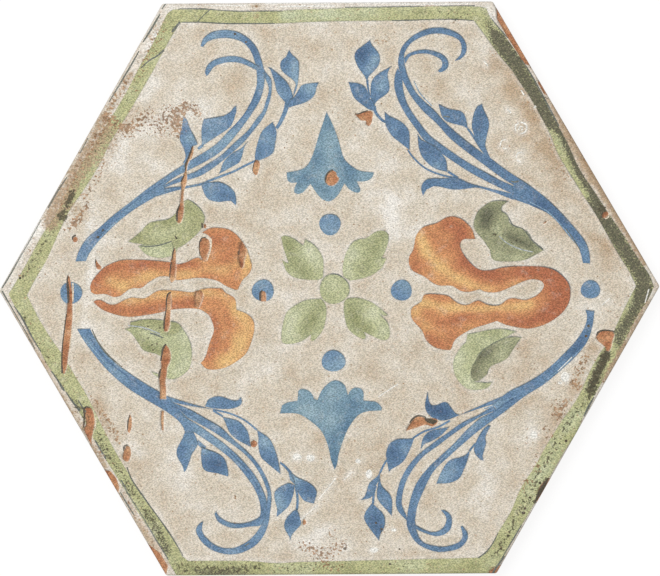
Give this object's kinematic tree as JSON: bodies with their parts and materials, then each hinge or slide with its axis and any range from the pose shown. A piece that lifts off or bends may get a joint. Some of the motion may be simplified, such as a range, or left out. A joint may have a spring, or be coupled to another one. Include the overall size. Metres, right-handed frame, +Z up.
{
  "type": "decorative hexagonal tile",
  "caption": "Flat hexagonal ceramic tile with a worn painted face of scrolls, flowers and a green border, bedded on its keyed back to cover a wall or floor.",
  "frame": {"origin": "middle of the bedding plane under the keyed back", "axes": "+Z up through the glazed face, +X towards a corner, +Y square to a flat side"},
  "size_m": [0.2766, 0.24, 0.0095],
  "materials": {
    "tile_ceramic": "matt painted glaze, worn through to a red fired body at chips and edges"
  },
  "bodies": {
    "root": {"tile": "tile_ceramic"}
  },
  "joints": []
}
